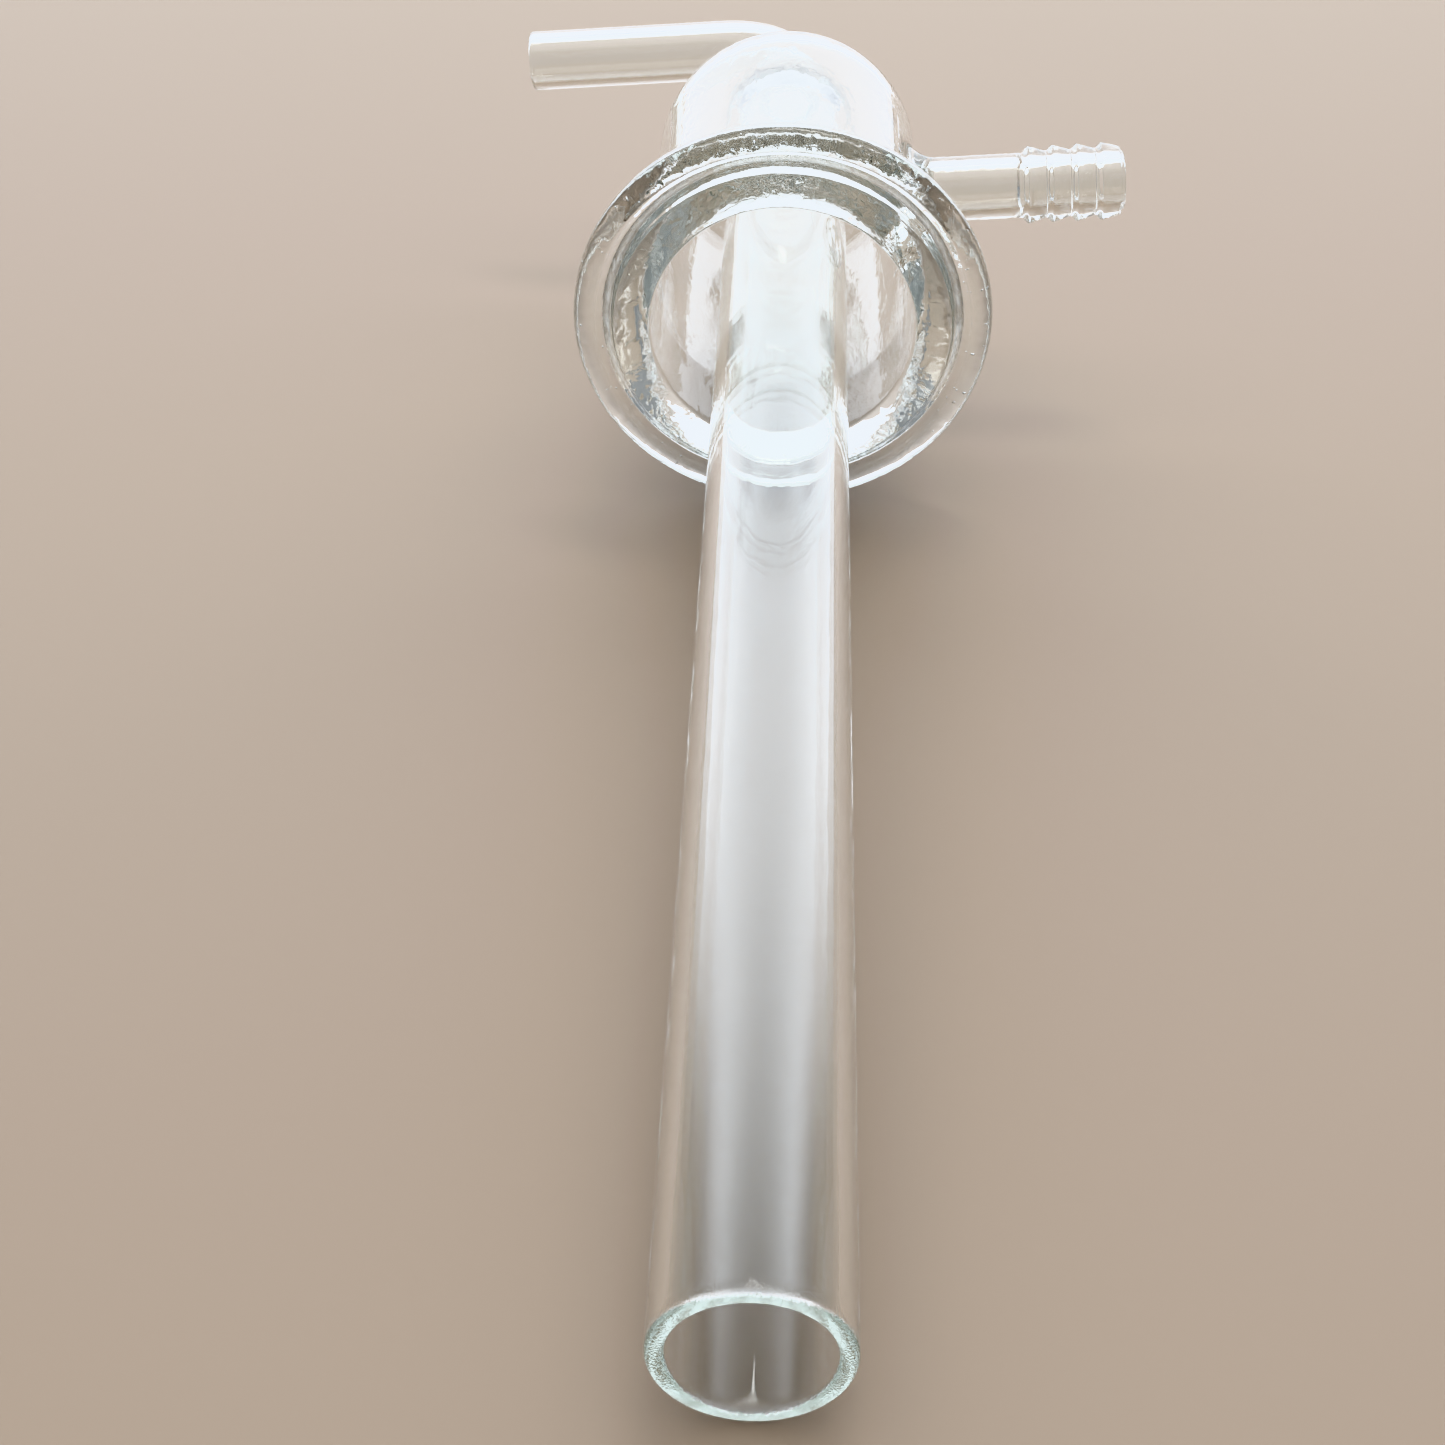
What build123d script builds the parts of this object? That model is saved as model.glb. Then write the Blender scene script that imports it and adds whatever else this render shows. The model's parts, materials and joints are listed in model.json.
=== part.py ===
from build123d import *
import math
import os

# Head of a vacuum cold trap, blown in borosilicate glass, lying on a table. Millimetres.
# Z is up from the table, +Y runs from the open end of the dip tube to the dome, +X is the hose side.
# Distances called "back" are measured along the trap's axis from the flange's sealing face to the rear.

# dip tube
DIP_OD = 19.0
DIP_WALL = 1.8
DIP_REACH = 179.0      # sealing face to the open end
DIP_RIM_ROUND = 0.75   # fire polished lip

# flange with a groove for an O ring
FLANGE_OD = 61.6
FLANGE_THICK = 5.6
RIM_ROUND = 2.65       # pressed edge, rounded front and back
FLANGE_BORE = 38.6
BORE_ROUND = 0.5
GROOVE_IN = 50.0
GROOVE_OUT = 55.2
GROOVE_DEEP = 1.3
NECK_ROOT_OD = 54.8    # neck where it leaves the back of the ring
NECK_SHOULDER = (21.2, 13.9)  # radius and distance back where the neck meets the barrel

# barrel and dome
BARREL_OD = 41.8
BARREL_WALL = 2.0
BARREL_FROM = 24.0
BARREL_TO = 55.5
SHOULDER_R = 13.5
CROWN_BACK = BARREL_TO + SHOULDER_R

# seal between the dip tube and the dome
SEAL_FROM = 59.5
SEAL_LAND = 11.6       # outer radius where the seal meets the dome

# small tube out of the dome
ARM_OD = 10.2
ARM_WALL = 1.25
ARM_NECK_END = 74.0
ARM_BEND_R = 12.0
ARM_BACK = 101.0       # centre line of the straight arm
ARM_REACH = 46.8       # axis to the arm's open end

# hose connection
HOSE_BACK = 42.0
HOSE_OD = 10.1
HOSE_BORE = 7.0
HOSE_FOOT_FILLET = 3.4
HOSE_FOOT_TOP = 27.4
STEM_END = 37.7
CREST_OD = 12.0
ROOT_OD = 10.4
TIP_OD = 9.4
HOSE_REACH = 53.6
CREST_PITCH = 3.85
CRESTS = 4

ARM_RIM_ROUND = 0.55

# how the piece lies: the dip tube's lip and the flange's rim both touch the table
REST_RUN = DIP_REACH - DIP_RIM_ROUND + RIM_ROUND
REST_RISE = (FLANGE_OD / 2 - RIM_ROUND) - (DIP_OD / 2 - DIP_RIM_ROUND)
TILT = math.atan(REST_RISE / REST_RUN) + math.asin(
    (RIM_ROUND - DIP_RIM_ROUND) / math.hypot(REST_RUN, REST_RISE)
)
ROLL = math.radians(4.0)
FACE_HEIGHT = (
    (FLANGE_OD / 2 - RIM_ROUND) * math.cos(TILT) + RIM_ROUND - RIM_ROUND * math.sin(TILT)
)

BARREL_R = BARREL_OD / 2
BARREL_BORE_R = BARREL_R - BARREL_WALL
DIP_R = DIP_OD / 2
DIP_BORE_R = DIP_R - DIP_WALL
ARM_R = ARM_OD / 2
ARM_BORE_R = ARM_R - ARM_WALL
HOSE_BORE_R = HOSE_BORE / 2

# the middle of the outline on the table, from the four outermost points
X_LEFT = -ARM_REACH * math.cos(ROLL) - (ARM_R - ARM_RIM_ROUND) * math.sin(ROLL)
X_RIGHT = HOSE_REACH * math.cos(ROLL) + (TIP_OD / 2 - 0.5) * math.sin(ROLL)
Y_NEAR = -DIP_REACH * math.cos(TILT) - (DIP_R - DIP_RIM_ROUND) * math.sin(TILT)
Y_FAR = ARM_BACK * math.cos(TILT) + ARM_R + ARM_REACH * math.sin(ROLL) * math.sin(TILT)
FACE_CENTRE = Vector(-(X_LEFT + X_RIGHT) / 2, -(Y_NEAR + Y_FAR) / 2, FACE_HEIGHT)

ALONG = Vector(0, math.cos(TILT), math.sin(TILT))
ACROSS = Vector(1, 0, 0)
UPWARD = Vector(0, -math.sin(TILT), math.cos(TILT))
HOSE_WAY = ACROSS * math.cos(ROLL) + UPWARD * math.sin(ROLL)
ARM_WAY = HOSE_WAY * -1

TRAP_AXIS = Axis(FACE_CENTRE, ALONG)
# sketch plane through the axis: x is the distance from the axis, y is "back"
SECTION = Plane(origin=FACE_CENTRE, x_dir=UPWARD, z_dir=UPWARD.cross(ALONG))
# sketch plane holding both side arms: x points to the hose side, y is "back"
ARMS = Plane(origin=FACE_CENTRE, x_dir=HOSE_WAY, z_dir=HOSE_WAY.cross(ALONG))
HOSE_CENTRE = FACE_CENTRE + ALONG * HOSE_BACK
HOSE_AXIS = Axis(HOSE_CENTRE, HOSE_WAY)
HOSE_CROSS = Plane(origin=HOSE_CENTRE, x_dir=ALONG, z_dir=HOSE_WAY)
BARREL_CROSS = Plane(origin=HOSE_CENTRE - ALONG * 16, x_dir=ACROSS, z_dir=ALONG)

os.makedirs("parts", exist_ok=True)


def shoulder_point(radius, angle):
    """A point on an arc of the dome's shoulder, angle in degrees from the barrel's side."""
    centre = BARREL_R - SHOULDER_R
    turn = math.radians(angle)
    return (centre + radius * math.cos(turn), BARREL_TO + radius * math.sin(turn))


INNER_SHOULDER_R = SHOULDER_R - BARREL_WALL
DOME_HOLE_R = BARREL_R - SHOULDER_R
CROWN_INSIDE = CROWN_BACK - BARREL_WALL

# flange ring, pressed with a groove in its sealing face
with BuildPart() as flange_ring:
    with BuildSketch(SECTION) as ring_profile:
        with BuildLine():
            Polyline(
                (FLANGE_BORE / 2, 0),
                (GROOVE_IN / 2, 0),
                (GROOVE_IN / 2 + 0.5, GROOVE_DEEP),
                (GROOVE_OUT / 2 - 0.5, GROOVE_DEEP),
                (GROOVE_OUT / 2, 0),
                (FLANGE_OD / 2, 0),
                (FLANGE_OD / 2, FLANGE_THICK),
                (FLANGE_BORE / 2, FLANGE_THICK),
                close=True,
            )
        make_face()
        rim = ring_profile.vertices().filter_by(lambda v: v.X > FLANGE_OD / 2 - 0.1)
        fillet(rim, radius=RIM_ROUND)
        corners = ring_profile.vertices().filter_by(
            lambda v: abs(v.Y) < 0.01 and abs(v.X - (GROOVE_IN + GROOVE_OUT) / 4) < 1.4
        )
        fillet(corners, radius=0.4)
        bore_edge = ring_profile.vertices().filter_by(
            lambda v: abs(v.Y) < 0.01 and v.X < FLANGE_BORE / 2 + 0.1
        )
        fillet(bore_edge, radius=BORE_ROUND)
    revolve(axis=TRAP_AXIS)
flange_ring.part.label = "flange_ring"
export_step(flange_ring.part, "parts/flange_ring.step")

# neck, the thick shoulder that the ring was fused on with, straight inside
with BuildPart() as neck:
    with BuildSketch(SECTION):
        with BuildLine():
            Spline(
                (NECK_ROOT_OD / 2, FLANGE_THICK),
                NECK_SHOULDER,
                (BARREL_R, NECK_SHOULDER[1] + 1.5),
                tangents=[(-0.54, 0.84), (0, 1)],
            )
            Polyline(
                (BARREL_R, NECK_SHOULDER[1] + 1.5),
                (BARREL_R, BARREL_FROM),
                (BARREL_BORE_R, BARREL_FROM),
                (FLANGE_BORE / 2, FLANGE_THICK),
                (NECK_ROOT_OD / 2, FLANGE_THICK),
            )
        make_face()
    revolve(axis=TRAP_AXIS)
neck.part.label = "neck"
export_step(neck.part, "parts/neck.step")

# barrel, a short length of tube with a hole in its side for the hose connection
with BuildPart() as barrel:
    with BuildSketch(SECTION):
        with BuildLine():
            Polyline(
                (BARREL_BORE_R, BARREL_FROM),
                (BARREL_R, BARREL_FROM),
                (BARREL_R, BARREL_TO),
                (BARREL_BORE_R, BARREL_TO),
                close=True,
            )
        make_face()
    revolve(axis=TRAP_AXIS)
    with BuildSketch(HOSE_CROSS):
        Circle(HOSE_BORE_R)
    extrude(amount=BARREL_R + 5, mode=Mode.SUBTRACT)
barrel.part.label = "barrel"
export_step(barrel.part, "parts/barrel.step")

# dome, closing the rear of the barrel down to the hole for the small tube
with BuildPart() as dome:
    with BuildSketch(SECTION):
        with BuildLine():
            ThreePointArc(
                (BARREL_R, BARREL_TO),
                shoulder_point(SHOULDER_R, 45),
                (DOME_HOLE_R, CROWN_BACK),
            )
            Line((DOME_HOLE_R, CROWN_BACK), (DOME_HOLE_R, CROWN_INSIDE))
            ThreePointArc(
                (DOME_HOLE_R, CROWN_INSIDE),
                shoulder_point(INNER_SHOULDER_R, 45),
                (BARREL_BORE_R, BARREL_TO),
            )
            Line((BARREL_BORE_R, BARREL_TO), (BARREL_R, BARREL_TO))
        make_face()
    revolve(axis=TRAP_AXIS)
dome.part.label = "dome"
export_step(dome.part, "parts/dome.step")

# ring seal, where the end of the dip tube is flared and fused to the inside of the dome
SEAL_ANGLE = math.degrees(math.acos((SEAL_LAND - DOME_HOLE_R) / INNER_SHOULDER_R))
with BuildPart() as ring_seal:
    with BuildSketch(SECTION):
        with BuildLine():
            Line((DIP_BORE_R, SEAL_FROM), (DIP_R, SEAL_FROM))
            Spline(
                (DIP_R, SEAL_FROM),
                shoulder_point(INNER_SHOULDER_R, SEAL_ANGLE),
                tangents=[(0, 1), (1, 0.35)],
            )
            ThreePointArc(
                shoulder_point(INNER_SHOULDER_R, SEAL_ANGLE),
                shoulder_point(INNER_SHOULDER_R, (SEAL_ANGLE + 90) / 2),
                (DOME_HOLE_R, CROWN_INSIDE),
            )
            Spline(
                (DOME_HOLE_R, CROWN_INSIDE),
                (DIP_BORE_R, SEAL_FROM),
                tangents=[(0.1, -1), (0, -1)],
            )
        make_face()
    revolve(axis=TRAP_AXIS)
ring_seal.part.label = "ring_seal"
export_step(ring_seal.part, "parts/ring_seal.step")

# dip tube, plain and open, its free end rounded in the flame
with BuildPart() as dip_tube:
    with BuildSketch(SECTION) as dip_profile:
        with BuildLine():
            Polyline(
                (DIP_BORE_R, -DIP_REACH),
                (DIP_R, -DIP_REACH),
                (DIP_R, SEAL_FROM),
                (DIP_BORE_R, SEAL_FROM),
                close=True,
            )
        make_face()
        lip = dip_profile.vertices().filter_by(lambda v: v.Y < -DIP_REACH + 0.1)
        fillet(lip, radius=DIP_RIM_ROUND)
    revolve(axis=TRAP_AXIS)
dip_tube.part.label = "dip_tube"
export_step(dip_tube.part, "parts/dip_tube.step")

# arm collar, the flared weld between the dome and the small tube
with BuildPart() as arm_collar:
    with BuildSketch(SECTION):
        with BuildLine():
            Line((DOME_HOLE_R, CROWN_INSIDE), (DOME_HOLE_R, CROWN_BACK))
            Spline(
                (DOME_HOLE_R, CROWN_BACK),
                (ARM_R, ARM_NECK_END),
                tangents=[(-1, 0.12), (0, 1)],
            )
            Line((ARM_R, ARM_NECK_END), (ARM_BORE_R, ARM_NECK_END))
            Spline(
                (ARM_BORE_R, ARM_NECK_END),
                (DOME_HOLE_R, CROWN_INSIDE),
                tangents=[(0, -1), (1, -0.3)],
            )
        make_face()
    revolve(axis=TRAP_AXIS)
arm_collar.part.label = "arm_collar"
export_step(arm_collar.part, "parts/arm_collar.step")

# elbow, the small tube bent a quarter turn toward the arm side
BEND_START = ARM_BACK - ARM_BEND_R
ELBOW_FOOT = Plane(
    origin=FACE_CENTRE + ALONG * ARM_NECK_END, x_dir=HOSE_WAY, z_dir=ALONG
)
with BuildPart() as elbow:
    with BuildLine(ARMS):
        Line((0, ARM_NECK_END), (0, BEND_START))
        RadiusArc((0, BEND_START), (-ARM_BEND_R, ARM_BACK), -ARM_BEND_R)
    with BuildSketch(ELBOW_FOOT):
        Circle(ARM_R)
        Circle(ARM_BORE_R, mode=Mode.SUBTRACT)
    sweep()
elbow.part.label = "elbow"
export_step(elbow.part, "parts/elbow.step")

# side arm, straight, its open end rounded in the flame
ARM_AXIS = Axis(FACE_CENTRE + ALONG * ARM_BACK, ARM_WAY)
with BuildPart() as side_arm:
    with BuildSketch(ARMS) as arm_profile:
        with BuildLine():
            Polyline(
                (-ARM_BEND_R, ARM_BACK + ARM_BORE_R),
                (-ARM_BEND_R, ARM_BACK + ARM_R),
                (-ARM_REACH, ARM_BACK + ARM_R),
                (-ARM_REACH, ARM_BACK + ARM_BORE_R),
                close=True,
            )
        make_face()
        arm_lip = arm_profile.vertices().filter_by(lambda v: v.X < -ARM_REACH + 0.1)
        fillet(arm_lip, radius=ARM_RIM_ROUND)
    revolve(axis=ARM_AXIS)
side_arm.part.label = "side_arm"
export_step(side_arm.part, "parts/side_arm.step")

# hose foot, the flared weld on the barrel's side, a saddle shaped by filleting a stub of tube to the barrel
with BuildPart() as hose_foot:
    with BuildSketch(BARREL_CROSS):
        Circle(BARREL_R)
    extrude(amount=32)
    with BuildSketch(HOSE_CROSS):
        Circle(HOSE_OD / 2)
    extrude(amount=HOSE_FOOT_TOP)
    crease = hose_foot.edges().filter_by(
        lambda e: e.geom_type not in (GeomType.CIRCLE, GeomType.LINE)
    )
    fillet(crease, radius=HOSE_FOOT_FILLET)
    with BuildSketch(BARREL_CROSS):
        Circle(BARREL_R)
    extrude(amount=32, mode=Mode.SUBTRACT)
    with BuildSketch(HOSE_CROSS):
        Circle(HOSE_BORE_R)
    extrude(amount=HOSE_FOOT_TOP, mode=Mode.SUBTRACT)
hose_foot.part.label = "hose_foot"
export_step(hose_foot.part, "parts/hose_foot.step")

# hose stem, the plain length between the foot and the serrations
with BuildPart() as hose_stem:
    with BuildSketch(Plane(origin=HOSE_CENTRE + HOSE_WAY * HOSE_FOOT_TOP, x_dir=ALONG, z_dir=HOSE_WAY)):
        Circle(HOSE_OD / 2)
        Circle(HOSE_BORE_R, mode=Mode.SUBTRACT)
    extrude(amount=STEM_END - HOSE_FOOT_TOP)
hose_stem.part.label = "hose_stem"
export_step(hose_stem.part, "parts/hose_stem.step")

# hose barb, four saw teeth that slope down toward the tip
saw = [(STEM_END, HOSE_BACK + HOSE_BORE_R), (STEM_END, HOSE_BACK + HOSE_OD / 2)]
for tooth in range(CRESTS):
    crest = STEM_END + 0.8 + tooth * CREST_PITCH
    saw.append((crest, HOSE_BACK + CREST_OD / 2))
    if tooth < CRESTS - 1:
        saw.append((crest + CREST_PITCH - 0.8, HOSE_BACK + ROOT_OD / 2))
saw.append((HOSE_REACH, HOSE_BACK + TIP_OD / 2))
saw.append((HOSE_REACH, HOSE_BACK + HOSE_BORE_R))
with BuildPart() as hose_barb:
    with BuildSketch(ARMS) as saw_profile:
        with BuildLine():
            Polyline(*saw, close=True)
        make_face()
        crests = saw_profile.vertices().filter_by(
            lambda v: v.Y > HOSE_BACK + CREST_OD / 2 - 0.05
        )
        fillet(crests, radius=0.35)
        mouth = saw_profile.vertices().filter_by(lambda v: v.X > HOSE_REACH - 0.05)
        fillet(mouth, radius=0.5)
    revolve(axis=HOSE_AXIS)
hose_barb.part.label = "hose_barb"
export_step(hose_barb.part, "parts/hose_barb.step")
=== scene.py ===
import json
import math
import random

import bpy
import numpy as np
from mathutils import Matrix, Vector


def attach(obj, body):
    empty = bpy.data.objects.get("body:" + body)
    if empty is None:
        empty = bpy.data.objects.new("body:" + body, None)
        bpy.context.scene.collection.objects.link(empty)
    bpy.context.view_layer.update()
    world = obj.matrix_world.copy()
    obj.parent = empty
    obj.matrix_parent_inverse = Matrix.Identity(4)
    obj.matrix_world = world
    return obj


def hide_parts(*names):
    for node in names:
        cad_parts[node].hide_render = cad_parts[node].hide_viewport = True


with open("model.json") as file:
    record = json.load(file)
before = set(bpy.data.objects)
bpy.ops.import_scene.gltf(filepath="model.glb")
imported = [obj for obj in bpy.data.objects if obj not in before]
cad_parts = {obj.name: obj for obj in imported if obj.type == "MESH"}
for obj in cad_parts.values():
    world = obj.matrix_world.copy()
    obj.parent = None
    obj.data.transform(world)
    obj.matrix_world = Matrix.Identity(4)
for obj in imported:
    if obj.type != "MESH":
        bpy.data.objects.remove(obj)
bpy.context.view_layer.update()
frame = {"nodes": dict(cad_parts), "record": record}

# ---------------------------------------------------------------- how the piece lies
# A cold trap head of clear borosilicate glass, blown and fused into one piece by hand. It lies with the
# lip of its long dip tube and the rim of its flange on the table. Its axis and the side its hose
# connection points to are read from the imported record. Distances "back" run from the sealing face.
MM = 0.001
mounts = {m["name"]: m for m in frame["record"]["mounts"]}


def unit(v):
    """A direction: the vector divided by its own length."""
    v = np.asarray(v, float)
    return v / np.linalg.norm(v)


along = -unit(mounts["sealing_face"]["axis"])
on_axis = np.array(mounts["dip_tube_bore"]["pos_m"])
to_face = np.array(mounts["sealing_face"]["pos_m"]) - on_axis
face_centre = on_axis + along * (to_face @ along)
hose_side = unit(mounts["hose_connection"]["axis"])
cross_side = np.cross(along, hose_side)

# ---------------------------------------------------------------- dip tube
# Drawn tubing with a smooth wall of even thickness. Its free end was held in the flame until the cut
# edge rounded into a lip.
DIP_R, DIP_BORE_R = 9.5, 7.7
DIP_END, SEAL_FROM = -179.0, 59.5
LIP_ROUND, LIP_FIRED = 0.75, 2.2  # the edge's rounding, and how far the flame reached

TURNS = 168  # steps round the axis
glass = []  # every surface of the fused piece: points, quads and how far it was softened in the flame


def placed(across, sideways, back):
    """Millimetres in the trap's own directions to metres in the row: the face's centre plus each
    distance times its direction."""
    parts = [np.asarray(a, float)[..., None] * MM for a in (across, sideways, back)]
    return face_centre + parts[0] * hose_side + parts[1] * cross_side + parts[2] * along


def ring_quads(rows, columns):
    """Quads of a grid that closes on itself sideways: each joins a point, its neighbour round the
    ring, and the two above them, so that they face away from the glass."""
    row, column = np.meshgrid(np.arange(rows - 1), np.arange(columns), indexing="ij")
    after = (column + 1) % columns
    this_row, next_row = row * columns, (row + 1) * columns
    return np.stack((this_row + column, this_row + after, next_row + after, next_row + column), -1)


def turned(profile, softened, hole=None):
    """A surface of revolution: each (radius, back) pair of the profile is carried round the axis,
    at radius x cos turn across and radius x sin turn sideways. A hole leaves out the quads for which
    it is true of their row and column."""
    profile = np.asarray(profile, float)
    turn = np.arange(TURNS) * 2 * math.pi / TURNS
    radius, back = profile[:, :1], profile[:, 1:]
    points = placed(radius * np.cos(turn), radius * np.sin(turn), back + 0 * turn)
    quads = ring_quads(len(profile), TURNS)
    if hole is not None:
        row, column = np.meshgrid(np.arange(len(profile) - 1), np.arange(TURNS), indexing="ij")
        quads = quads[~hole(row, column)]
    soft = np.broadcast_to(np.asarray(softened, float).reshape(-1, 1), (len(profile), TURNS))
    glass.append((points.reshape(-1, 3), quads.reshape(-1, 4), soft.ravel()))


def straight(start, end, steps):
    """Even steps along a line in the profile."""
    return np.linspace(start, end, steps + 1)


def arc(centre, radius, first, last, steps):
    """Even steps along an arc of the profile: centre + radius x (cos, sin), angles in degrees."""
    a = np.radians(np.linspace(first, last, steps + 1))
    return np.stack([centre[0] + radius * np.cos(a), centre[1] + radius * np.sin(a)], 1)


def joined(*stretches):
    """Stretches of profile end to end, without their doubled end points."""
    return np.concatenate([stretches[0], *(s[1:] for s in stretches[1:])])


lip = joined(
    arc((DIP_BORE_R + LIP_ROUND, DIP_END + LIP_ROUND), LIP_ROUND, 180, 270, 6),
    straight((DIP_BORE_R + LIP_ROUND, DIP_END), (DIP_R - LIP_ROUND, DIP_END), 1),
    arc((DIP_R - LIP_ROUND, DIP_END + LIP_ROUND), LIP_ROUND, 270, 360, 6),
)
dip_tube = joined(
    straight((DIP_BORE_R, SEAL_FROM), (DIP_BORE_R, DIP_END + LIP_FIRED), 24),
    straight((DIP_BORE_R, DIP_END + LIP_FIRED), (DIP_BORE_R, DIP_END + LIP_ROUND), 3),
    lip,
    straight((DIP_R, DIP_END + LIP_ROUND), (DIP_R, DIP_END + LIP_FIRED), 3),
    straight((DIP_R, DIP_END + LIP_FIRED), (DIP_R, SEAL_FROM), 24),
)
turned(dip_tube, 0.0)

# ---------------------------------------------------------------- ring seal
# The end of the dip tube was flared and fused to the inside of the dome, so both sides flow out into
# the dome's wall with a thick soft fillet.
SHOULDER_AT, SHOULDER_R, BARREL_WALL = 55.5, 13.5, 2.0
BARREL_R = 20.9
BARREL_BORE_R = BARREL_R - BARREL_WALL
SHOULDER_CENTRE = (BARREL_R - SHOULDER_R, SHOULDER_AT)
INNER_SHOULDER_R = SHOULDER_R - BARREL_WALL
SEAL_LAND = 11.6
CROWN_INSIDE = SHOULDER_AT + INNER_SHOULDER_R


def flowing(start, end, leaving, arriving, steps):
    """A curve of soft glass between two points: the cubic that leaves and arrives in the directions
    given, each as strong as its own length."""
    s = np.linspace(0, 1, steps + 1)[:, None]
    a, b, u, v = (np.asarray(p, float) for p in (start, end, leaving, arriving))
    return (
        (2 * s**3 - 3 * s**2 + 1) * a
        + (s**3 - 2 * s**2 + s) * u
        + (3 * s**2 - 2 * s**3) * b
        + (s**3 - s**2) * v
    )


land_angle = math.degrees(math.acos((SEAL_LAND - SHOULDER_CENTRE[0]) / INNER_SHOULDER_R))
land = arc(SHOULDER_CENTRE, INNER_SHOULDER_R, land_angle, land_angle, 0)[0]
turned(flowing((DIP_R, SEAL_FROM), land, (0, 6.5), (3.4, -1.2), 16), 0.5)
turned(flowing((SHOULDER_CENTRE[0], CROWN_INSIDE), (DIP_BORE_R, SEAL_FROM), (0.8, -3.0), (0, -5.0), 12), 0.5)

# ---------------------------------------------------------------- dome
# The rear end of the barrel, worked round in the flame and drawn in to the small tube at its top.
turned(arc(SHOULDER_CENTRE, INNER_SHOULDER_R, land_angle, 0, 18), 0.45)
turned(arc(SHOULDER_CENTRE, SHOULDER_R, 0, 90, 26), 0.45)

# ---------------------------------------------------------------- barrel
# A short length of wide tube. A square of its wall is left open here on both sides, and the hose
# connection's weld closes it.
BARREL_FROM = 24.0
HOSE_BACK = 42.0  # where the hose connection's axis crosses
PATCH_HALF = 10.5  # millimetres forward and back
PATCH_STEPS = 14  # steps of the barrel's grid each way from the middle

patch_rows = np.linspace(HOSE_BACK - PATCH_HALF, HOSE_BACK + PATCH_HALF, 2 * PATCH_STEPS + 1)
rows_before = np.linspace(BARREL_FROM, patch_rows[0], 9)[:-1]
rows_after = np.linspace(patch_rows[-1], SHOULDER_AT, 3)[1:]
barrel_rows = np.concatenate([rows_before, patch_rows, rows_after])


def patch(rows):
    """True of the quads of the open square, for rows that run forward or back."""
    return lambda row, column: (
        (np.minimum(rows[row], rows[row + 1]) > patch_rows[0] - 1e-6)
        & (np.maximum(rows[row], rows[row + 1]) < patch_rows[-1] + 1e-6)
        & ((column < PATCH_STEPS) | (column >= TURNS - PATCH_STEPS))
    )


inner_rows = barrel_rows[::-1]
turned(np.stack([0 * inner_rows + BARREL_BORE_R, inner_rows], 1), 0.3, patch(inner_rows))
turned(np.stack([0 * barrel_rows + BARREL_R, barrel_rows], 1), 0.3, patch(barrel_rows))

# ---------------------------------------------------------------- neck
# The thick shoulder between the barrel and the ring, built up where the ring was fused on. It is nearly
# straight inside and slopes outside, and its surface was left rippled by the handwork.
THROAT_BACK, SHOULDER_BACK, SHOULDER_OUT = 5.6, 13.9, 21.2
ROOT_R, BORE_R = 27.4, 19.3

rising = np.linspace(0.3, 1.0, 19)
turned(straight((BARREL_BORE_R, BARREL_FROM), (BORE_R, THROAT_BACK), 18), rising)
neck_outside = joined(
    flowing((ROOT_R, THROAT_BACK), (SHOULDER_OUT, SHOULDER_BACK), (-5.4, 8.4), (-6.8, 6.4), 12),
    flowing((SHOULDER_OUT, SHOULDER_BACK), (BARREL_R, SHOULDER_BACK + 1.5), (-0.8, 1.0), (0, 1.4), 4),
    straight((BARREL_R, SHOULDER_BACK + 1.5), (BARREL_R, BARREL_FROM), 2),
)
turned(neck_outside, rising[::-1])

# ---------------------------------------------------------------- flange ring
# A thick ring pressed in a mould: a bull-nosed rim, a flat sealing face and a shallow round-bottomed
# groove for an O ring. Its bore runs straight on into the neck.
FLANGE_R, FLANGE_THICK, RIM_ROUND = 30.8, 5.6, 2.65
BORE_ROUND, GROOVE_IN, GROOVE_OUT, GROOVE_DEEP = 0.5, 25.0, 27.6, 1.3
EDGE = 0.6  # rounding of the groove's edges, which turns 60 degrees before the groove's curve takes over
CURVE_IN, CURVE_DEEP = EDGE * (1 - math.cos(math.radians(30))), EDGE / 2

groove_middle = ((GROOVE_IN + GROOVE_OUT) / 2, GROOVE_DEEP)
flange_ring = joined(
    straight((BORE_R, THROAT_BACK), (BORE_R, BORE_ROUND), 5),
    arc((BORE_R + BORE_ROUND, BORE_ROUND), BORE_ROUND, 180, 270, 5),
    straight((BORE_R + BORE_ROUND, 0), (GROOVE_IN - EDGE, 0), 2),
    arc((GROOVE_IN - EDGE, EDGE), EDGE, 270, 330, 4),
    flowing((GROOVE_IN - CURVE_IN, CURVE_DEEP), groove_middle, (0.6, 1.2), (1.6, 0), 8),
    flowing(groove_middle, (GROOVE_OUT + CURVE_IN, CURVE_DEEP), (1.6, 0), (0.6, -1.2), 8),
    arc((GROOVE_OUT + EDGE, EDGE), EDGE, 210, 270, 4),
    arc((FLANGE_R - RIM_ROUND, RIM_ROUND), RIM_ROUND, 271, 360, 14),  # from where the groove's edge ends
    arc((FLANGE_R - RIM_ROUND, FLANGE_THICK - RIM_ROUND), RIM_ROUND, 0, 90, 14),
    straight((FLANGE_R - RIM_ROUND, FLANGE_THICK), (ROOT_R, THROAT_BACK), 1),
)
turned(flange_ring, 1.0)

# ---------------------------------------------------------------- small tube: weld, elbow and arm
# A thin tube welded to the top of the dome with a flared foot, bent a quarter turn in the flame and
# left with a plain rounded end.
ARM_R, ARM_BORE_R = 5.1, 3.85
NECK_END, ARM_BACK, BEND_R, ARM_REACH, ARM_LIP = 74.0, 101.0, 12.0, 46.8, 0.55

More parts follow.
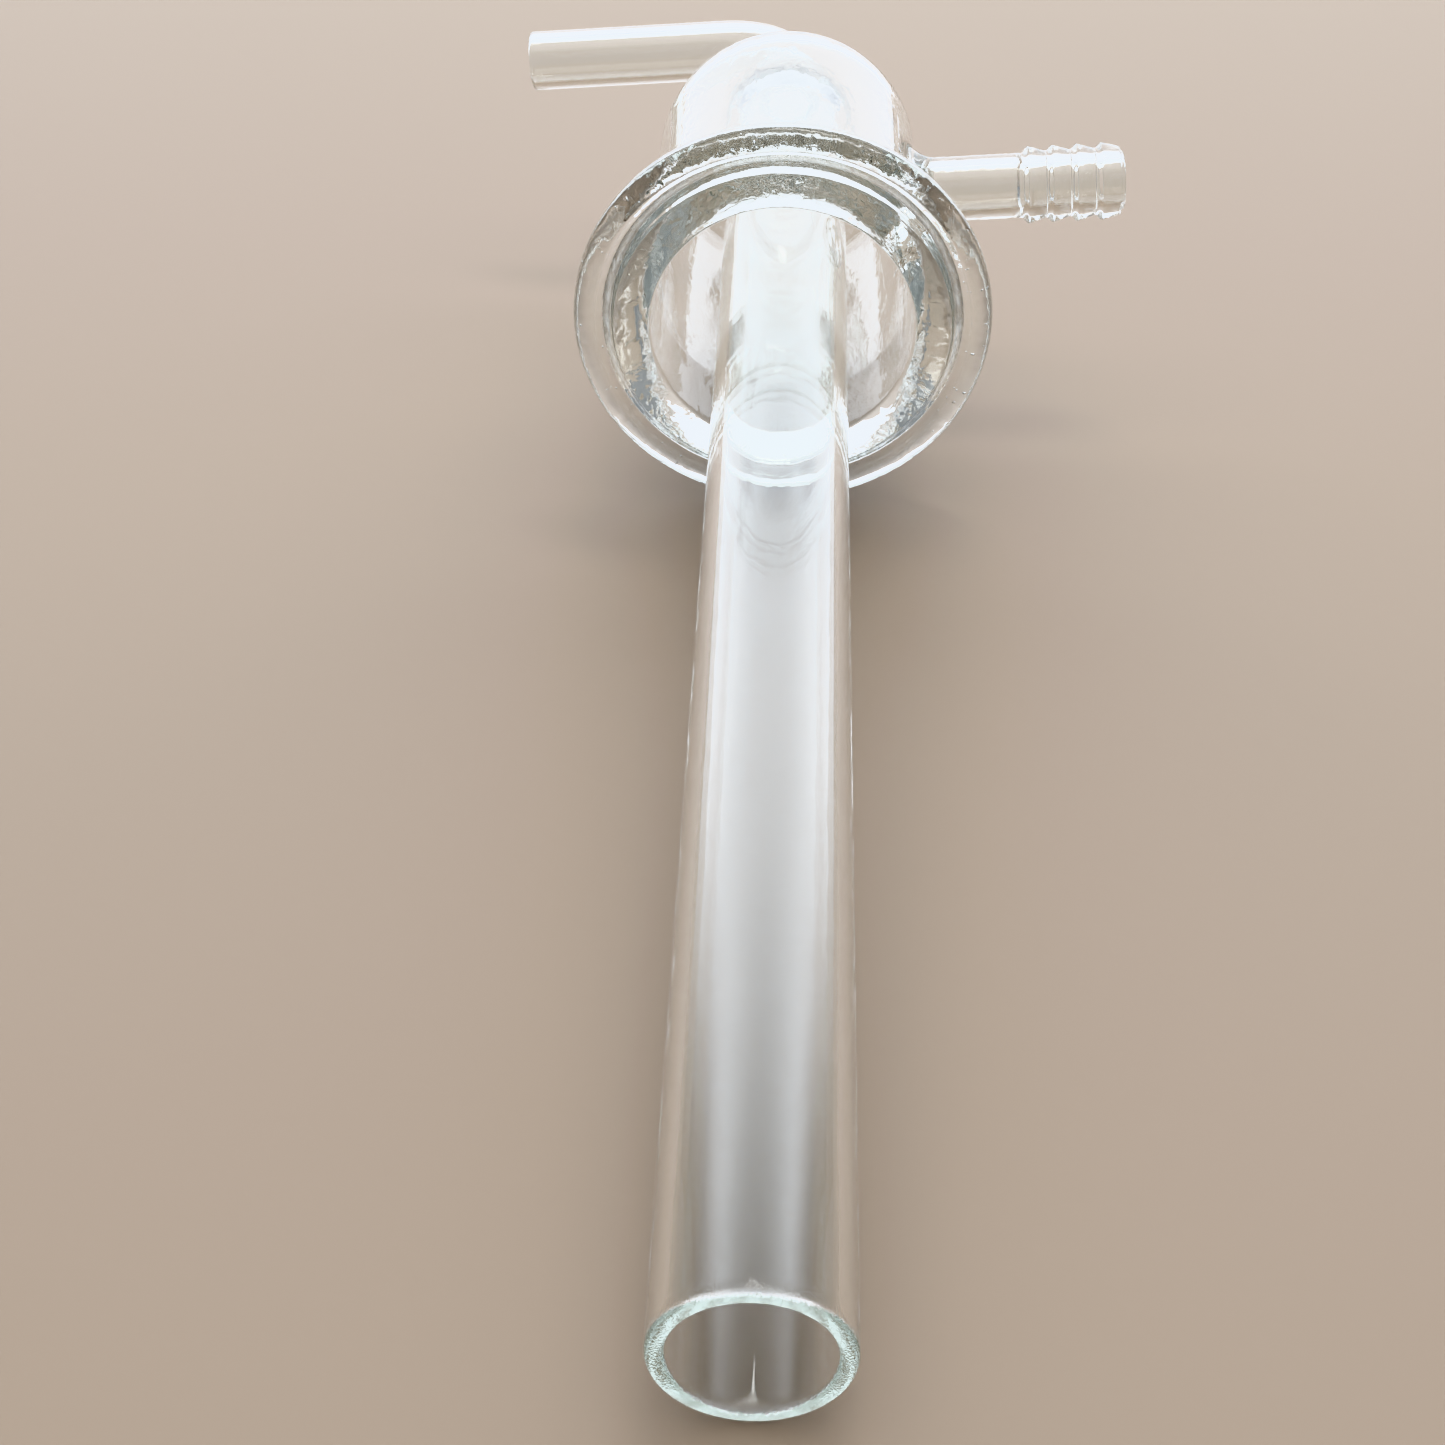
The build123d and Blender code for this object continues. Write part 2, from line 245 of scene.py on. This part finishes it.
turned(
    flowing((SHOULDER_CENTRE[0], SHOULDER_AT + SHOULDER_R), (ARM_R, NECK_END), (-3.2, 0.3), (0, 5.0), 14),
    0.5,
)
turned(flowing((ARM_BORE_R, NECK_END), (SHOULDER_CENTRE[0], CROWN_INSIDE), (0, -5.0), (3.2, -1.0), 14), 0.5)


def carried(run, radius, softened):
    """A round section carried along the small tube. A distance along the path gives the centre and
    the bend's angle: straight back, then the arc, then straight out. The section's points are the
    centre plus radius x (cos turn x the bend's own outward direction + sin turn x sideways)."""
    bend_from = ARM_BACK - BEND_R - NECK_END
    bend_long = BEND_R * math.pi / 2
    angle = np.clip((run - bend_from) / BEND_R, 0, math.pi / 2)
    beyond = np.maximum(run - bend_from - bend_long, 0)
    across = -BEND_R * (1 - np.cos(angle)) - beyond
    back = NECK_END + np.minimum(run, bend_from) + BEND_R * np.sin(angle)
    turn = np.arange(TURNS) * 2 * math.pi / TURNS
    reach = radius[:, None] * np.cos(turn)
    points = placed(
        across[:, None] + reach * np.cos(angle)[:, None],
        radius[:, None] * np.sin(turn),
        back[:, None] + reach * np.sin(angle)[:, None],
    )
    soft = np.repeat(softened, TURNS)
    glass.append((points.reshape(-1, 3), ring_quads(len(run), TURNS).reshape(-1, 4), soft))


arm_long = ARM_BACK - BEND_R - NECK_END + BEND_R * math.pi / 2 + ARM_REACH - BEND_R
BEND_NEAR, BEND_PAST = 15, 34  # the stretch of the path that is drawn in short steps
stations = np.concatenate([
    np.linspace(0, BEND_NEAR, 6)[:-1],
    np.linspace(BEND_NEAR, BEND_PAST, 22),
    np.linspace(BEND_PAST, arm_long - ARM_LIP, 10)[1:],
])
round_out = arc((ARM_R - ARM_LIP, arm_long - ARM_LIP), ARM_LIP, 0, 90, 5)
round_in = arc((ARM_BORE_R + ARM_LIP, arm_long - ARM_LIP), ARM_LIP, 90, 180, 5)
arm_outline = joined(
    np.stack([0 * stations + ARM_R, stations], 1),
    round_out,
    straight(round_out[-1], round_in[0], 1),
    round_in,
    np.stack([0 * stations + ARM_BORE_R, stations], 1)[::-1],
)
bend_middle = ARM_BACK - BEND_R - NECK_END + BEND_R * math.pi / 4
carried(arm_outline[:, 1], arm_outline[:, 0], 0.5 * np.exp(-(((arm_outline[:, 1] - bend_middle) / 8) ** 2)))

# ---------------------------------------------------------------- hose connection
# A side tube fused to the barrel with a saddle-shaped weld. Four rings were tooled into its end while
# it was hot, steep toward the barrel and sloping toward the tip.
HOSE_R, HOSE_BORE_R = 5.05, 3.5
WELD_ROUND, WELD_INSIDE, FOOT_TOP = 3.4, 1.0, 27.4
STEM_END, HOSE_REACH, TIP_R, TIP_ROUND = 37.7, 53.6, 4.7, 0.6
CREST_R, VALLEY_R, PITCH, CRESTS = 6.0, 5.2, 3.85, 4
FIRST_CREST, CREST_RISE = 0.8, 1.0  # from the stem's end, and the length of each ring's steep side
TIP_FLARE, BORE_LIP = 0.62, 0.5  # the tip's own slope, and the rounding inside it

# the open square's edge, as (sideways angle steps, back), once round from its far corner
edge_up = np.arange(-PATCH_STEPS, PATCH_STEPS)
edge_turn = np.concatenate([0 * edge_up + PATCH_STEPS, -edge_up, 0 * edge_up - PATCH_STEPS, edge_up])
edge_back = np.concatenate([edge_up, 0 * edge_up + PATCH_STEPS, -edge_up, 0 * edge_up - PATCH_STEPS])
edge_turn = edge_turn * 2 * math.pi / TURNS
edge_back = edge_back * PATCH_HALF / PATCH_STEPS


def saddle(wall_r, tube_r, fillet, steps):
    """The weld between a wide round wall and a tube standing on it. From the square's edge the points
    close in to a circle on the wall, at height root(wall radius squared - sideways squared), then
    climb a quarter-round fillet outward to the tube's own radius."""
    sideways, back = wall_r * np.sin(edge_turn), edge_back
    facing = np.arctan2(back, sideways)
    foot = tube_r + fillet
    rows = []
    for s in np.linspace(0, 1, steps + 1):
        x = (1 - s) * sideways + s * foot * np.cos(facing)
        y = (1 - s) * back + s * foot * np.sin(facing)
        rows.append((np.sqrt(wall_r**2 - x**2), x, y))
    for a in np.radians(np.linspace(0, 90, 9))[1:]:
        r = tube_r + fillet * (1 - math.sin(a))
        x, y = r * np.cos(facing), r * np.sin(facing)
        rows.append((np.sqrt(wall_r**2 - x**2) + fillet * (1 - math.cos(a)), x, y))
    return rows, facing


outside, facing = saddle(BARREL_R, HOSE_R, WELD_ROUND, 6)
inside, _ = saddle(BARREL_BORE_R, HOSE_BORE_R, WELD_INSIDE, 7)

tooled = [straight((HOSE_R, FOOT_TOP), (HOSE_R, STEM_END + FIRST_CREST - CREST_RISE), 6)]
for ring in range(CRESTS):
    crest = STEM_END + FIRST_CREST + ring * PITCH
    low = HOSE_R if ring == 0 else VALLEY_R
    after = VALLEY_R if ring < CRESTS - 1 else TIP_R + TIP_FLARE
    tooled.append(flowing((low, crest - CREST_RISE), (CREST_R, crest), (0.35, 0.9), (0.15, 0.7), 6))
    valley = (after, crest + PITCH - CREST_RISE)
    tooled.append(flowing((CREST_R, crest), valley, (0.05, 1.2), (-0.5, 2.4), 8))
tooled.append(straight(tooled[-1][-1], (TIP_R, HOSE_REACH - TIP_ROUND), 2))
tooled.append(arc((TIP_R - TIP_ROUND, HOSE_REACH - TIP_ROUND), TIP_ROUND, 0, 90, 6))
tooled.append(arc((HOSE_BORE_R + BORE_LIP, HOSE_REACH - BORE_LIP), BORE_LIP, 90, 180, 5))
bore_end = (HOSE_BORE_R, BARREL_BORE_R + 3.0)
tooled.append(straight((HOSE_BORE_R, HOSE_REACH - BORE_LIP), bore_end, 12))
# a stretch that starts where the last one ended leaves out that doubled point
following = [t[1:] if np.allclose(t[0], last[-1]) else t for last, t in zip(tooled, tooled[1:])]
hose_outline = np.concatenate([tooled[0], *following])

hose_rows = outside + [
    (0 * facing + e, r * np.cos(facing), r * np.sin(facing)) for r, e in hose_outline
]
hose_rows += inside[::-1]
hose_points = placed(
    np.array([row[0] for row in hose_rows]),
    np.array([row[1] for row in hose_rows]),
    np.array([row[2] for row in hose_rows]) + HOSE_BACK,
)
# the weld was worked longest, the rest of the tube less
hose_soft = np.repeat(np.where(np.arange(len(hose_rows)) < len(outside) + 3, 0.9, 0.35), len(facing))
hose_quads = ring_quads(len(hose_rows), len(facing)).reshape(-1, 4)
glass.append((hose_points.reshape(-1, 3), hose_quads, hose_soft))

# ---------------------------------------------------------------- seeds
# Tiny gas bubbles left in the ring where it was pressed, half of them near the rim and half behind the
# groove. Each is a hollow inside the glass, so its faces look into it.
SEEDS, SEED_R = 70, (0.07, 0.2)
NEAR_RIM, NEAR_RIM_BACK = (28.5, 29.9), (1.6, 3.9)
BEHIND_GROOVE, BEHIND_GROOVE_BACK = (24.2, 28.8), (2.9, 4.7)
AROUND = 8  # points round each bubble's belts

dice = random.Random(11)
seed_places = []
for n in range(SEEDS):
    turn = dice.uniform(0, 2 * math.pi)
    if n % 2:
        r, back = dice.uniform(*NEAR_RIM), dice.uniform(*NEAR_RIM_BACK)
    else:
        r, back = dice.uniform(*BEHIND_GROOVE), dice.uniform(*BEHIND_GROOVE_BACK)
    seed_places.append((r * math.cos(turn), r * math.sin(turn), back, dice.uniform(*SEED_R)))
around = np.arange(AROUND) * 2 * math.pi / AROUND
belts = np.radians([-75, -45, -15, 15, 45, 75])
belt_quads = ring_quads(len(belts), AROUND)[..., ::-1].reshape(-1, 4)
fan = np.arange(AROUND)
beside = (fan + 1) % AROUND
top_belt, low_pole = (len(belts) - 1) * AROUND, len(belts) * AROUND
low_cap = np.stack([fan, beside, 0 * fan + low_pole, 0 * fan + low_pole], 1)
high_cap = np.stack([beside + top_belt, fan + top_belt, 0 * fan + low_pole + 1, 0 * fan + low_pole + 1], 1)
bubble_faces = np.concatenate([belt_quads, low_cap, high_cap])
for across, sideways, back, size in seed_places:
    x = across + size * np.cos(belts)[:, None] * np.cos(around)
    y = sideways + size * np.cos(belts)[:, None] * np.sin(around)
    z = back + size * np.sin(belts)[:, None] + 0 * around
    ball = placed(x, y, z).reshape(-1, 3)
    poles = placed([across, across], [sideways, sideways], [back - size, back + size])
    glass.append((np.concatenate([ball, poles]), bubble_faces, np.zeros(len(ball) + 2)))

# ---------------------------------------------------------------- the fused piece
# All the lengths above are one piece of glass: edges that meet are welded, so no wall is left inside.
# Handwork leaves the wide parts a little out of true, most where the barrel and dome were turned.
OUT_OF_TRUE = 0.06

starts = np.cumsum([0] + [len(points) for points, _, _ in glass])
points = np.concatenate([p for p, _, _ in glass])
quads = np.concatenate([q + s for (_, q, _), s in zip(glass, starts)])
softened = np.concatenate([s for _, _, s in glass])
cells = np.round(points / 2e-7).astype(np.int64)
_, first, weld = np.unique(cells, axis=0, return_index=True, return_inverse=True)
points, softened, quads = points[first], softened[first], weld.reshape(-1)[quads]

from_axis = points - face_centre
back_mm = from_axis @ along / MM
radial = from_axis - np.outer(from_axis @ along, along)
distance = np.linalg.norm(radial, axis=1)
turn_at = np.arctan2(radial @ cross_side, radial @ hose_side)
uneven = np.sin(2 * turn_at + 0.9 + 0.05 * back_mm) + 0.6 * np.sin(3 * turn_at - 1.7 + 0.11 * back_mm)
# 1 on the barrel and dome, falling to 0 toward the axis, the ring and the hose connection
wide = np.clip((distance / MM - 12) / 6, 0, 1) * np.clip((back_mm - 6) / 10, 0, 1)
wide = wide * np.clip((26 - distance / MM) / 3, 0, 1)
points = points + radial / np.maximum(distance, 1e-6)[:, None] * (OUT_OF_TRUE * MM * uneven * wide)[:, None]

mesh = bpy.data.meshes.new("fused_glass")
mesh.from_pydata(points.tolist(), [], [list(dict.fromkeys(q)) for q in quads.tolist()])
mesh.polygons.foreach_set("use_smooth", [True] * len(mesh.polygons))
mesh.attributes.new("softened", "FLOAT", "POINT").data.foreach_set("value", softened)
fired = np.clip((DIP_END + LIP_FIRED - back_mm) / (LIP_FIRED - LIP_ROUND), 0, 1)
mesh.attributes.new("fired", "FLOAT", "POINT").data.foreach_set("value", fired)
mesh.update()
fused_glass = bpy.data.objects.new("fused_glass", mesh)
bpy.context.scene.collection.objects.link(fused_glass)


def linear(code, alpha=1.0):
    """An sRGB hex colour to the linear values that shaders take."""
    parts = [int(code[i : i + 2], 16) / 255 for i in (1, 3, 5)]
    return (*[c / 12.92 if c <= 0.04045 else ((c + 0.055) / 1.055) ** 2.4 for c in parts], alpha)


def add(tree, kind, settings=(), links=(), **values):
    """Adds one node: its plain settings, the values of its sockets, then the links into it."""
    node = tree.nodes.new(kind)
    for name, value in dict(settings).items():
        setattr(node, name, value)
    for name, value in values.items():
        node.inputs[name.replace("_", " ")].default_value = value
    for name, source in dict(links).items():
        tree.links.new(source, node.inputs[name])
    return node


# Borosilicate glass, drawn, pressed and flame worked: clear, with a faint green cast that shows only
# where the eye looks along the wall. Softened parts ripple; drawn tube has faint lines along it and is
# nearly true; the fired edge is finely pebbled, so the light that comes down the wall leaves it evenly.
RIPPLE_WIDE, RIPPLE_DEEP = 3.03, 0.16  # millimetres from wave to wave, and their height
LINE_WIDE, LINE_DEEP = 2.38, 0.02
PEBBLE_WIDE, PEBBLE_DEEP = 0.2, 0.04  # as coarse as it has to be to show
RIPPLE_SHORT, LINE_SHORT = 0.45, 0.3  # both are drawn out along the trap's axis, by less than 1

borosilicate = bpy.data.materials.new("flame worked borosilicate glass")
borosilicate.use_nodes = True
tree = borosilicate.node_tree
tree.nodes.clear()
place = add(tree, "ShaderNodeTexCoord").outputs["Object"]
soft = add(tree, "ShaderNodeAttribute", {"attribute_name": "softened"}).outputs["Fac"]
tilt = math.atan2(along[2], along[1])
stretched = add(
    tree, "ShaderNodeMapping", links={"Vector": place}, Rotation=(-tilt, 0, 0), Scale=(1, RIPPLE_SHORT, 1)
).outputs["Vector"]
ripple = add(
    tree,
    "ShaderNodeTexNoise",
    links={"Vector": stretched},
    Scale=1 / (RIPPLE_WIDE * MM),
    Detail=2.0,
    Roughness=0.5,
    Distortion=0.6,
).outputs["Fac"]
ripple_height = add(
    tree, "ShaderNodeMath", {"operation": "MULTIPLY"}, {0: ripple, 1: soft}
).outputs["Value"]
rippled = add(
    tree, "ShaderNodeBump", links={"Height": ripple_height}, Strength=1.0, Distance=RIPPLE_DEEP * MM
).outputs["Normal"]
draw_lines = add(
    tree, "ShaderNodeMapping", links={"Vector": place}, Rotation=(-tilt, 0, 0), Scale=(1, LINE_SHORT, 1)
).outputs["Vector"]
drawn = add(
    tree,
    "ShaderNodeTexNoise",
    links={"Vector": draw_lines},
    Scale=1 / (LINE_WIDE * MM),
    Detail=1.0,
    Roughness=0.4,
).outputs["Fac"]
worked = add(
    tree,
    "ShaderNodeBump",
    links={"Height": drawn, "Normal": rippled},
    Strength=1.0,
    Distance=LINE_DEEP * MM,
).outputs["Normal"]
edge = add(tree, "ShaderNodeAttribute", {"attribute_name": "fired"}).outputs["Fac"]
pebble = add(
    tree,
    "ShaderNodeTexNoise",
    links={"Vector": place},
    Scale=1 / (PEBBLE_WIDE * MM),
    Detail=1.0,
    Roughness=0.5,
).outputs["Fac"]
pebble_height = add(
    tree, "ShaderNodeMath", {"operation": "MULTIPLY"}, {0: pebble, 1: edge}
).outputs["Value"]
pebbled = add(
    tree,
    "ShaderNodeBump",
    links={"Height": pebble_height, "Normal": worked},
    Strength=1.0,
    Distance=PEBBLE_DEEP * MM,
).outputs["Normal"]
shader = add(
    tree,
    "ShaderNodeBsdfPrincipled",
    links={"Normal": pebbled},
    Base_Color=linear("#FBFDFC"),
    Roughness=0.0,
    IOR=1.473,
    Transmission_Weight=1.0,
).outputs["BSDF"]
tint = add(tree, "ShaderNodeVolumeAbsorption", Color=linear("#AEBEB2"), Density=4.5).outputs["Volume"]
add(tree, "ShaderNodeOutputMaterial", links={"Surface": shader, "Volume": tint})

mesh.materials.append(borosilicate)
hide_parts(*frame["nodes"])
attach(fused_glass, "root")

# ---------------------------------------------------------------- table
# A plain sheet of paper-coloured board, matt, lying just under the glass.
bpy.ops.mesh.primitive_plane_add(size=3.0, location=(0, 0, -0.05 * MM))
table = bpy.context.object
table.name = "table"
paper = bpy.data.materials.new("matt paper board")
paper.use_nodes = True
board = paper.node_tree.nodes["Principled BSDF"]
board.inputs["Base Color"].default_value = linear("#AD9A86")
board.inputs["Roughness"].default_value = 0.6
board.inputs["Specular IOR Level"].default_value = 0.5
table.data.materials.append(paper)

# ---------------------------------------------------------------- light
# A pale room with a brighter ceiling. A wide window behind, soft at its edges, gives the long pale bands
# in the tubes and lights the far side of the table more than the near side. A broad lamp overhead fills
# the shadows, and a small one beside it gives the crisp glints.
ROOM, CEILING = 0.35, 0.2
CEILING_FROM, CEILING_FULL = 0.3, 0.9  # upward part of a direction where the ceiling starts and is full
WINDOW, WINDOW_HALF, WINDOW_HIGH = 2.8, 1.7, 2.1
FOOT_BACK, HEAD_BACK = 1.3, 0.6  # it stands on the floor and leans in over the table
SIDE_FULL, TOP_DARK, TOP_FULL = 1.0, 1.95, 1.05
SOFT_STEP = {"interpolation_type": "SMOOTHSTEP"}

world = bpy.data.worlds.new("white room")
bpy.context.scene.world = world
world.use_nodes = True
sky = world.node_tree
sky.nodes.clear()
way = add(sky, "ShaderNodeTexCoord").outputs["Generated"]
heading = add(sky, "ShaderNodeSeparateXYZ", links={"Vector": way}).outputs
strength = add(
    sky,
    "ShaderNodeMapRange",
    SOFT_STEP,
    {"Value": heading["Z"]},
    From_Min=CEILING_FROM,
    From_Max=CEILING_FULL,
    To_Min=ROOM,
    To_Max=ROOM + CEILING,
).outputs["Result"]
light = add(sky, "ShaderNodeBackground", links={"Strength": strength}, Color=linear("#EAF0F8"))
add(sky, "ShaderNodeOutputWorld", links={"Surface": light.outputs["Background"]})

window_corners = [
    (-WINDOW_HALF, FOOT_BACK, 0.0),
    (WINDOW_HALF, FOOT_BACK, 0.0),
    (WINDOW_HALF, HEAD_BACK, WINDOW_HIGH),
    (-WINDOW_HALF, HEAD_BACK, WINDOW_HIGH),
]
pane = bpy.data.meshes.new("window")
pane.from_pydata(window_corners, [], [(0, 1, 2, 3)])
window = bpy.data.objects.new("window", pane)
bpy.context.scene.collection.objects.link(window)
window.visible_camera = False
glow = bpy.data.materials.new("window light")
glow.use_nodes = True
glow.cycles.emission_sampling = "FRONT"
tree = glow.node_tree
tree.nodes.clear()
place = add(tree, "ShaderNodeTexCoord").outputs["Object"]
spot = add(tree, "ShaderNodeSeparateXYZ", links={"Vector": place}).outputs
from_left, from_right, from_top = [
    add(
        tree,
        "ShaderNodeMapRange",
        SOFT_STEP,
        {"Value": spot[measure]},
        From_Min=dark_at,
        From_Max=bright_at,
        To_Min=0.0,
        To_Max=full,
    ).outputs["Result"]
    for measure, dark_at, bright_at, full in (
        ("X", -WINDOW_HALF, -SIDE_FULL, 1.0),
        ("X", WINDOW_HALF, SIDE_FULL, 1.0),
        ("Z", TOP_DARK, TOP_FULL, WINDOW),
    )
]
from_sides = add(
    tree, "ShaderNodeMath", {"operation": "MULTIPLY"}, {0: from_left, 1: from_right}
).outputs["Value"]
pale = add(tree, "ShaderNodeMath", {"operation": "MULTIPLY"}, {0: from_sides, 1: from_top}).outputs["Value"]
shine = add(tree, "ShaderNodeEmission", links={"Strength": pale}, Color=linear("#EEF4FF"))
add(tree, "ShaderNodeOutputMaterial", links={"Surface": shine.outputs["Emission"]})
pane.materials.append(glow)


def soft_box(name, centre, target, size, power, colour):
    """A rectangular lamp at a point, turned to face another, hidden from direct view."""
    lamp = bpy.data.lights.new(name, "AREA")
    lamp.shape = "RECTANGLE"
    lamp.size, lamp.size_y = size
    lamp.energy = power
    lamp.color = linear(colour)[:3]
    holder = bpy.data.objects.new(name, lamp)
    bpy.context.scene.collection.objects.link(holder)
    holder.location = centre
    aim = Vector(target) - Vector(centre)
    holder.rotation_euler = aim.to_track_quat("-Z", "Y").to_euler()
    holder.visible_camera = False


soft_box("overhead", (0, -0.1, 1.2), (0, -0.1, 0), (1.8, 1.0), 6.0, "#FFFAF4")
soft_box("glint", (0.15, 0.35, 1.3), (0, 0.05, 0.03), (0.6, 0.2), 2.4, "#FFFFFF")

# ---------------------------------------------------------------- camera
# Standing over the open end, looking down the tube.
LOOKS_DOWN, LOOKS_LEFT = 32.61, 2.0  # degrees

eye = bpy.data.cameras.new("camera")
eye.lens = 58.3
eye.sensor_width = 36.0
camera = bpy.data.objects.new("camera", eye)
bpy.context.scene.collection.objects.link(camera)
camera.location = (-0.00095, -0.2834, 0.1665)
camera.rotation_euler = (math.radians(90 - LOOKS_DOWN), 0, math.radians(LOOKS_LEFT))
bpy.context.scene.camera = camera

scene = bpy.context.scene
scene.view_settings.view_transform = "Khronos PBR Neutral"
# light that runs along inside the wall turns many times before it leaves
WALL_TURNS = 256
for limit in ("max_bounces", "transmission_bounces", "glossy_bounces"):
    setattr(scene.cycles, limit, WALL_TURNS)
